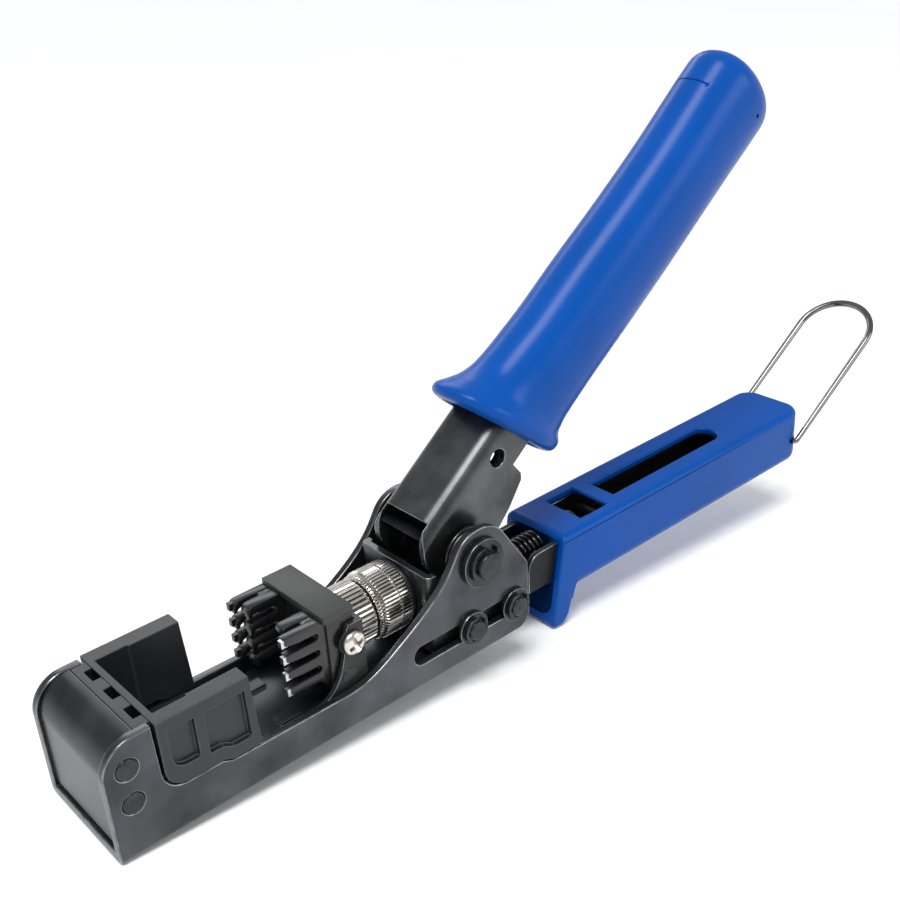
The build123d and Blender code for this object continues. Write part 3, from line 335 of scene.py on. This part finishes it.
# rounded end
u, half, low, high, lean, square = GRIP_ROWS[-1]
cap_length = sum(CAP_RADII[1:]) / 2
for k in range(1, 10):
    turn = math.radians(10 * k)
    inset = 1 - math.cos(turn)
    rings.append(grip_ring(u + cap_length * math.sin(turn), half - CAP_RADII[0] * inset,
                           low + CAP_RADII[1] * inset, high - CAP_RADII[2] * inset, 0, square))
# and its slightly domed middle
end_u = u + cap_length
half, low, high = half - CAP_RADII[0], low + CAP_RADII[1], high - CAP_RADII[2]
for share, up in ((0.7, 0.22), (0.4, 0.34), (0.1, 0.38)):
    middle, reach = (low + high) / 2, (high - low) / 2
    rings.append(grip_ring(end_u + up, half * share, middle - reach * share, middle + reach * share, 0, 2.1))
# the mouth turns in to the lever sheet
u, half, low, high, lean, square = GRIP_ROWS[0]
mouth = [grip_ring(u + depth, half - inset, low + inset, high - inset, lean, square)
         for depth, inset in ((-0.12, 0.5), (0.1, 1.1), (0.8, 1.5), (4.0, 1.7))]
skin(bm, list(reversed(mouth)) + rings)
bmesh.ops.recalc_face_normals(bm, faces=bm.faces)
grip = from_bmesh("upper_grip_moulding", bm, BLUE, PAINTED_SHADE_BLACK)


def cut_away(obj, cutter_bm, cutter_mat):
    """Subtracts a closed mesh from a piece and keeps the result as the piece's own mesh."""
    cutter = from_bmesh(obj.name + "_cutter", cutter_bm, cutter_mat)
    cut = obj.modifiers.new("cut", "BOOLEAN")
    cut.object = cutter
    cut.operation = "DIFFERENCE"
    cut.solver = "EXACT"
    cut.use_self = True
    bpy.context.view_layer.update()
    baked = bpy.data.meshes.new_from_object(obj.evaluated_get(bpy.context.evaluated_depsgraph_get()))
    obj.modifiers.clear()
    obj.data = baked
    bpy.data.objects.remove(cutter)


# small blind hole in the near side, close to the end
HOLE_PLACE = (121.5, 0.2, -8.6)
HOLE_RADIUS, HOLE_LENGTH = 0.5, 3
hole = bmesh.new()
bmesh.ops.create_cone(hole, cap_ends=True, segments=20, radius1=HOLE_RADIUS * MM, radius2=HOLE_RADIUS * MM,
                      depth=HOLE_LENGTH * MM)
bmesh.ops.transform(hole, matrix=Matrix.Translation(lever_point(*HOLE_PLACE))
                    @ Matrix.Rotation(math.radians(90), 4, "X"), verts=hole.verts)
# The hole's walls take the near-black painted shade.
cut_away(grip, hole, PAINTED_SHADE_BLACK)
finish_piece(grip, "handle", ("upper_grip",), smooth_angle=50)


# --- adjuster: sleeve, rings and knob ------------------------------------------------------------

STEM_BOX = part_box("threaded_stem")
AXIS_Z = (STEM_BOX[0].z + STEM_BOX[1].z) / 2
FRONT_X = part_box("frame_channel")[0].x


KNURL = (1, 1, 0.55, 0, 0, 0.55, 1, 1)  # height of the knurl at the eight steps of one tooth
GROOVE_STEPS = (2, 3, 4)


def turned(name, profile, body, mat, nodes, teeth, depth):
    """A knurled part turned about the punch's axis, its grooves darker than the rest: grime, with painted
    shade.

    profile rows: (distance behind the front, radius, share of the knurl's depth)."""
    count = teeth * len(KNURL)
    bm = bmesh.new()
    rings = []
    for back, radius, share in profile:
        ring = []
        for i in range(count):
            turn = 2 * math.pi * i / count
            reach = radius - depth * share * (1 - KNURL[i % len(KNURL)])
            ring.append(Vector((FRONT_X + back * MM, reach * math.cos(turn) * MM,
                                AXIS_Z + reach * math.sin(turn) * MM)))
        rings.append(ring)
    skin(bm, rings, cap_start=False, cap_end=False)
    bmesh.ops.recalc_face_normals(bm, faces=bm.faces)
    for face in bm.faces:
        middle = face.calc_center_median()
        back = (middle.x - FRONT_X) / MM
        step = math.atan2(middle.z - AXIS_Z, middle.y) / (2 * math.pi) % 1 * count
        knurled = any(a[2] and b[2] and a[0] < back < b[0] for a, b in zip(profile, profile[1:]))
        if knurled and int(step) % len(KNURL) in GROOVE_STEPS:
            face.material_index = 1
    obj = from_bmesh(name, bm, mat, GROOVE_GRIME_AND_SHADE)
    return finish_piece(obj, body, nodes, smooth_angle=20)


SLEEVE_FRONT = (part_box("stem_collar")[0].x - FRONT_X) / MM
SLEEVE_BACK = (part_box("stem_collar")[1].x - FRONT_X) / MM
turned("stem_sleeve",
       [(SLEEVE_FRONT, 3.9, 0), (SLEEVE_FRONT, 6.4, 0), (SLEEVE_FRONT + 0.5, 6.95, 0.5),
        (SLEEVE_FRONT + 0.8, 7.1, 1), (SLEEVE_BACK - 0.8, 7.1, 1), (SLEEVE_BACK - 0.5, 7.0, 0.6),
        (SLEEVE_BACK - 0.1, 6.5, 0), (SLEEVE_BACK - 0.1, 3.9, 0)],
       "head", NICKEL, ("stem_collar",), teeth=40, depth=0.55)
turned("depth_knob",
       [(66.5, 4.0, 0), (66.5, 6.7, 0), (66.62, 7.2, 0.7), (67.0, 7.35, 1), (67.35, 7.2, 0.7),
        (67.42, 6.5, 0), (67.62, 6.5, 0), (67.66, 7.0, 0), (68.0, 7.5, 0.4), (68.3, 7.75, 1),
        (71.9, 7.75, 1), (72.0, 7.4, 0.2), (72.3, 7.4, 0.2), (72.4, 7.75, 1), (74.6, 7.75, 1),
        (74.95, 7.55, 0.5), (75.1, 7.2, 0), (75.1, 5.0, 0),
        (78.2, 5.0, 0), (78.2, 4.6, 0), (79.1, 4.6, 0), (79.1, 5.0, 0), (79.5, 5.0, 0), (79.5, 4.0, 0)],
       "knob", NICKEL, ("adjuster_knob",), teeth=60, depth=0.42)


# --- springs -------------------------------------------------------------------------------------

def tube(name, points, radius, mat, sides=14):
    """A round wire along a list of points, with closed ends."""
    bm = bmesh.new()
    rings = []
    count = len(points)
    normal = None
    for i, p in enumerate(points):
        ahead = (points[min(i + 1, count - 1)] - points[max(i - 1, 0)]).normalized()
        if normal is None:
            normal = ahead.orthogonal().normalized()
        normal = (normal - ahead * normal.dot(ahead)).normalized()
        side = ahead.cross(normal)
        turns = [2 * math.pi * k / sides for k in range(sides)]
        rings.append([p + (normal * math.cos(t) + side * math.sin(t)) * radius for t in turns])
    skin(bm, rings)
    bmesh.ops.recalc_face_normals(bm, faces=bm.faces)
    return from_bmesh(name, bm, mat)


def helix(centre, axis, start, radius, pitch, turns, steps=28):
    """Points of a coil: from centre along axis, starting in the start direction, all in metres."""
    axis = axis.normalized()
    first = start.normalized()
    second = axis.cross(first)
    count = int(turns * steps)
    return [centre + axis * pitch * i / steps + (first * math.cos(2 * math.pi * i / steps)
                                                  + second * math.sin(2 * math.pi * i / steps)) * radius
            for i in range(count + 1)]


# return spring: from the rear carriage pin to the anchor pin, with a hook at each end
coil_low, coil_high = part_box("return_spring")
coil_mid = (coil_low + coil_high) / 2
COIL_RADIUS = (coil_high.z - coil_low.z) / 2 - 0.55 * MM
COIL_TURNS = 19
COIL_WIRE = 0.52 * MM
PIN_HOOK = 2.75 * MM  # radius of the hook round the carriage's rear pin
ANCHOR_HOOK = 2.1 * MM
rear_pin_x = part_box("carriage_pins")[1].x - 3.6 * MM
anchor_x = (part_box("spring_anchor")[0].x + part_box("spring_anchor")[1].x) / 2


def spring_hook(centre_x, radius, degrees):
    """Points of a bend in the tool's middle plane, about a pin level with the coil's axis."""
    return [Vector((centre_x + radius * math.cos(math.radians(a)), 0,
                    coil_mid.z + radius * math.sin(math.radians(a)))) for a in degrees]


path = spring_hook(rear_pin_x, PIN_HOOK, range(100, 281, 15))
path += [Vector((coil_low.x - 1.2 * MM, 0, coil_mid.z - COIL_RADIUS * 0.97))]
path += helix(Vector((coil_low.x, 0, coil_mid.z)), Vector((1, 0, 0)), Vector((0, 0, -1)), COIL_RADIUS,
              (coil_high.x - coil_low.x) / COIL_TURNS, COIL_TURNS)
path += [Vector((coil_high.x + 1.5 * MM, 0, coil_mid.z - COIL_RADIUS * 0.9))]
path += spring_hook(anchor_x, ANCHOR_HOOK, range(-100, 101, 20))
spring = tube("return_coil", path, COIL_WIRE, SPRING)
spring.data.shade_smooth()
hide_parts("return_spring")
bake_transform(spring)

# coils on the main pin, between the lever's cheeks and the plates
spacer_low, spacer_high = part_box("lever_spacers")
cheek_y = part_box("lever_channel")[1].y
room = spacer_high.y - cheek_y - 0.2 * MM
PIN_COIL_RADIUS = 6.0 * MM
PIN_COIL_TURNS = 2.6
wire = room / 3.8 / 2
for name, sign in (("near_pin_coil", -1), ("far_pin_coil", 1)):
    points = helix(Vector((PIVOT.x, sign * (cheek_y + 0.1 * MM + wire), PIVOT.z)), Vector((0, sign, 0)),
                   Vector((0, 0, -1)), PIN_COIL_RADIUS, (room - 2 * wire) / PIN_COIL_TURNS, PIN_COIL_TURNS,
                   steps=40)
    coil = tube(name, points, wire, SPRING)
    coil.data.shade_smooth()
    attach(coil, "tool_frame")
    if sign < 0:
        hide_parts("lever_spacers")


# --- punch block ---------------------------------------------------------------------------------

def box_piece(bm, low, high):
    """Adds a closed box, corners in millimetres as (behind the front, across, up)."""
    corners = [Vector((FRONT_X + x * MM, y * MM, z * MM))
               for x in (low[0], high[0]) for y in (low[1], high[1]) for z in (low[2], high[2])]
    v = [bm.verts.new(c) for c in corners]
    for a, b, c, d in ((0, 1, 3, 2), (4, 6, 7, 5), (0, 4, 5, 1), (2, 3, 7, 6), (0, 2, 6, 4), (1, 5, 7, 3)):
        bm.faces.new((v[a], v[b], v[c], v[d]))


def slab(bm, outline, axis, low, high):
    """Adds a closed prism. outline points are (behind, up) for axis y and (behind, across) for axis z."""
    def place(p, level):
        return (Vector((FRONT_X + p[0] * MM, level * MM, p[1] * MM)) if axis == "y"
                else Vector((FRONT_X + p[0] * MM, p[1] * MM, level * MM)))
    a = [bm.verts.new(place(p, low)) for p in outline]
    b = [bm.verts.new(place(p, high)) for p in outline]
    n = len(outline)
    bm.faces.new(a)
    bm.faces.new(list(reversed(b)))
    for i in range(n):
        bm.faces.new((a[i], b[i], b[(i + 1) % n], a[(i + 1) % n]))


# heights above the base and distances behind the front, in millimetres
TOPS = [25.4 - 3.81 * row for row in range(4)]
FINGER = 2.1  # height of one prong
GAP_BACK = 48.4  # where the gaps between prongs start to round
COMB_BACK = 51.3
INNER_COMB, OUTER_COMB = (4.1, 6.8), (7.95, 10.0)  # reach to either side


def comb_column(bm, side, near, far, tip, style):
    """Four prongs one above another, with rounded gaps between them, as one closed upright slab."""
    outline = [(COMB_BACK, TOPS[0])]
    for row, top in enumerate(TOPS):
        low = top - FINGER
        if style == "square":
            outline += [(tip, top), (tip, low + 0.55), (tip + 1.0, low + 0.3), (tip + 3.2, low + 0.05)]
        elif style == "hook":
            outline += [(tip + 0.9, top), (tip + 0.2, top - 0.35), (tip - 0.1, top - 1.0),
                        (tip - 0.1, low - 0.45), (tip + 0.45, low - 0.5), (tip + 0.95, low + 0.25),
                        (tip + 1.7, low + 0.5), (tip + 2.4, low + 0.1), (tip + 3.3, low - 0.05),
                        (tip + 3.8, low + 0.1)]
        else:
            outline += [(tip + 0.7, top), (tip + 0.15, top - 0.35), (tip, top - 1.0), (tip + 0.2, low + 0.35),
                        (tip + 0.8, low)]
        outline.append((GAP_BACK, low))
        if row < 3:
            radius = (low - TOPS[row + 1]) / 2
            outline += [(GAP_BACK + radius * math.sin(math.radians(a)), low - radius + radius
                         * math.cos(math.radians(a))) for a in range(20, 180, 20)]
            outline.append((GAP_BACK, TOPS[row + 1]))
    outline += [(GAP_BACK + 1.2, TOPS[3] - FINGER - 1.1), (COMB_BACK, TOPS[3] - FINGER - 1.6)]
    y0, y1 = sorted((side * near, side * far))
    slab(bm, outline, "y", y0, y1)


WEB_FRONT, WEB_BACK = 46.6, 51.2
WEB_SIDES = (4.4, 9.6)
SLOT_MIDDLE, SLOT_RADIUS = 7.375, 0.58

bm = bmesh.new()
# cap, then the body under it, then the prongs
box_piece(bm, (50.3, -10.7, 24.6), (57.5, 10.7, 26.15))
for face in bm.faces:
    face.material_index = 1
box_piece(bm, (51.0, -10.45, 8.0), (57.4, 10.45, 24.9))
for side in (-1, 1):
    comb_column(bm, side, *OUTER_COMB, 41.65, "square" if side < 0 else "hook")
    comb_column(bm, side, *INNER_COMB, 43.4 if side < 0 else 42.6, "round" if side < 0 else "hook")
    for top in TOPS:
        # web between the two prongs, its front edge the round end of their slot
        web = [(WEB_BACK, side * WEB_SIDES[0]), (WEB_BACK, side * WEB_SIDES[1]),
               (WEB_FRONT, side * WEB_SIDES[1]), (WEB_FRONT, side * OUTER_COMB[0])]
        web += [(WEB_FRONT + SLOT_RADIUS * math.sin(math.radians(a)),
                 side * (SLOT_MIDDLE + SLOT_RADIUS * math.cos(math.radians(a)))) for a in range(15, 180, 15)]
        web += [(WEB_FRONT, side * INNER_COMB[1]), (WEB_FRONT, side * WEB_SIDES[0])]
        if side > 0:
            web.reverse()
        slab(bm, web, "z", top - FINGER + 0.1, top - 0.14)
    y0, y1 = sorted((side * INNER_COMB[0], side * OUTER_COMB[1]))
    box_piece(bm, (50.1, y0, TOPS[0] - 0.2), (WEB_BACK, y1, TOPS[0] + 0.3))
bmesh.ops.recalc_face_normals(bm, faces=bm.faces)
sharp = [e for e in bm.edges if len(e.link_faces) == 2 and e.calc_face_angle(0) > math.radians(50)]
bmesh.ops.bevel(bm, geom=sharp, offset=0.05 * MM, offset_type="OFFSET", segments=2, profile=0.5,
                affect="EDGES", clamp_overlap=True)
punch = from_bmesh("punch_moulding", bm, PUNCH, CAP)
finish_piece(punch, "head", ("punch_block",))


# --- screws --------------------------------------------------------------------------------------

screw_low, screw_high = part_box("block_screws")
screw_x, screw_z = (screw_low.x + screw_high.x) / 2, (screw_low.z + screw_high.z) / 2


HEAD_DEPTH = 1.3
# (radius, height above the seat) of the domed head and of the near-black ring just behind the near one's rim,
# a painted shadow
HEAD_PROFILE = ((2.5, 0.0), (2.7, 0.25), (2.7, 0.7), (2.4, 1.2), (1.75, 1.5), (0.9, 1.65))
SHADOW_RING_PROFILE = ((1.9, -0.2), (2.82, -0.2), (2.82, 0.03), (2.78, 0.06), (2.6, 0.03), (1.9, 0.0),
                  (1.9, -0.2))
# (height above the seat, half length, half width) of the cross recess at its bottom and above its top
CROSS_LEVELS = ((0.3, 1.1, 0.32), (2.2, 2.3, 0.58))
seat = abs(screw_low.y) - HEAD_DEPTH * MM


def across_rings(profile, centre_x, centre_z, sign, count):
    """Rings of points about an axis across the tool, facing out of the near or the far cheek."""
    turns = [2 * math.pi * i / count for i in range(count)]
    return [[Vector((centre_x + reach * MM * math.cos(t), sign * (seat + up * MM),
                     centre_z + reach * MM * math.sin(t))) for t in turns] for reach, up in profile]


def pan_head(name, sign):
    """A domed screw head with a cross recess, facing out of the near or the far cheek."""
    bm = bmesh.new()
    rings = across_rings(HEAD_PROFILE, screw_x, screw_z, sign, 64)
    skin(bm, rings)
    bmesh.ops.recalc_face_normals(bm, faces=bm.faces)
    head = from_bmesh(name, bm, NICKEL)
    cross = bmesh.new()
    for turn in (20, 110):
        c, s = math.cos(math.radians(turn)), math.sin(math.radians(turn))
        corners = []
        for level, length, width in CROSS_LEVELS:
            plan = ((-length, -width), (length, -width), (length, width), (-length, width))
            corners.append([cross.verts.new(Vector((screw_x + (a * c - b * s) * MM,
                                                    sign * (seat + level * MM),
                                                    screw_z + (a * s + b * c) * MM))) for a, b in plan])
        bottom, top = corners
        cross.faces.new(bottom)
        cross.faces.new(list(reversed(top)))
        for i in range(4):
            cross.faces.new((bottom[i], top[i], top[(i + 1) % 4], bottom[(i + 1) % 4]))
    bmesh.ops.recalc_face_normals(cross, faces=cross.faces)
    cut_away(head, cross, NICKEL)
    finish_piece(head, "head", ("block_screws",) if sign < 0 else (), smooth_angle=40)


pan_head("near_screw_head", -1)
pan_head("far_screw_head", 1)

# near-black ring behind the near screw's head, a little off its centre: a painted shadow of the head
bm = bmesh.new()
skin(bm, across_rings(SHADOW_RING_PROFILE, screw_x - 0.40 * MM, screw_z + 0.3 * MM, -1, 48), cap_start=False,
     cap_end=False)
bmesh.ops.recalc_face_normals(bm, faces=bm.faces)
finish_piece(from_bmesh("screw_painted_shadow_ring", bm, PAINTED_SHADE_BLACK), "head")

# --- floor, light, camera ----------------------------------------------------------------------

FLOOR_HALF_SIZE = 60
FLOOR_GAP = 0.4 * MM
FLANGE_TOUCH_X = 0.0643  # where the lower grip's flange stands on the floor
floor_mesh = bmesh.new()
bmesh.ops.create_grid(floor_mesh, x_segments=1, y_segments=1, size=FLOOR_HALF_SIZE)
FLOOR = material("pale_floor", (0.91, 0.91, 0.91), 0.9, grain_size=3, bump=0.01, patches=0.01, patch_size=300,
                 specular=0.0)
floor_shader = FLOOR.node_tree.nodes["Principled BSDF"]
floor_shader.inputs["Emission Color"].default_value = (1, 1, 1, 1)
floor_shader.inputs["Emission Strength"].default_value = 0.04
floor = from_bmesh("floor", floor_mesh, FLOOR)
nose_touch = Vector((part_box("frame_channel")[0].x, 0, 0))
flange_touch = Vector((FLANGE_TOUCH_X, 0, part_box("lower_grip")[0].z))
slope = math.atan2(flange_touch.z - nose_touch.z, flange_touch.x - nose_touch.x)
floor.rotation_euler = (0, -slope, 0)
floor.location = (nose_touch + flange_touch) / 2 - Vector((0, 0, FLOOR_GAP))


def area_light(name, place, target, size, power):
    """A rectangular light; place and target in metres, power in watts."""
    data = bpy.data.lights.new(name, "AREA")
    data.shape = "RECTANGLE"
    data.size, data.size_y = size
    data.energy = power
    lamp = link(bpy.data.objects.new(name, data))
    lamp.location = place
    lamp.rotation_euler = (Vector(target) - Vector(place)).to_track_quat("-Z", "Y").to_euler()


area_light("key_light", (-0.30, -0.10, 0.75), (0.03, 0, 0.02), (0.40, 0.25), 2.0)
area_light("side_light", (0.55, -0.70, 0.32), (0.05, 0, 0.02), (0.45, 0.25), 1.6)
area_light("back_light", (0.30, 0.70, 0.50), (0.05, 0, 0.03), (0.60, 0.22), 1.5)
# broad soft light from above
sun_data = bpy.data.lights.new("overhead_light", "SUN")
sun_data.energy = 2.1
sun_data.angle = math.radians(24)
sun = link(bpy.data.objects.new("overhead_light", sun_data))
sun.rotation_euler = (math.radians(14), math.radians(-12), 0)

world = bpy.data.worlds.new("studio")
bpy.context.scene.world = world
world.use_nodes = True
sky = world.node_tree
direction = sky.nodes.new("ShaderNodeTexCoord")
split = sky.nodes.new("ShaderNodeSeparateXYZ")
sky.links.new(direction.outputs["Generated"], split.inputs["Vector"])
level = sky.nodes.new("ShaderNodeMapRange")
level.inputs["From Min"].default_value = -1
sky.links.new(split.outputs["Z"], level.inputs["Value"])
# bright up to a little over the horizon, then a dark band, then a soft grey overhead
fade = sky.nodes.new("ShaderNodeValToRGB")
fade.color_ramp.elements[0].position = 0.60
fade.color_ramp.elements[0].color = (1.35, 1.36, 1.38, 1)
fade.color_ramp.elements[1].position = 0.80
fade.color_ramp.elements[1].color = (0.80, 0.82, 0.85, 1)
dark_band = fade.color_ramp.elements.new(0.64)
dark_band.color = (0.42, 0.43, 0.45, 1)
sky.links.new(level.outputs["Result"], fade.inputs["Fac"])
sky.links.new(fade.outputs["Color"], sky.nodes["Background"].inputs["Color"])
sky.nodes["Background"].inputs["Strength"].default_value = 0.62

CAMERA_TURN = (0.793041, 0.494922, -0.160529, -0.316808)
CAMERA_PLACE = (-0.107909, -0.180868, 0.163983)
SENSOR_WIDTH, LENS = 36, 49.57
camera_data = bpy.data.cameras.new("photo_camera")
camera_data.sensor_width = SENSOR_WIDTH
camera_data.lens = LENS
camera = link(bpy.data.objects.new("photo_camera", camera_data))
camera.rotation_mode = "QUATERNION"
camera.rotation_quaternion = CAMERA_TURN
camera.location = CAMERA_PLACE
camera_data.clip_start = 0.01
bpy.context.scene.camera = camera
bpy.context.scene.view_settings.view_transform = "Standard"
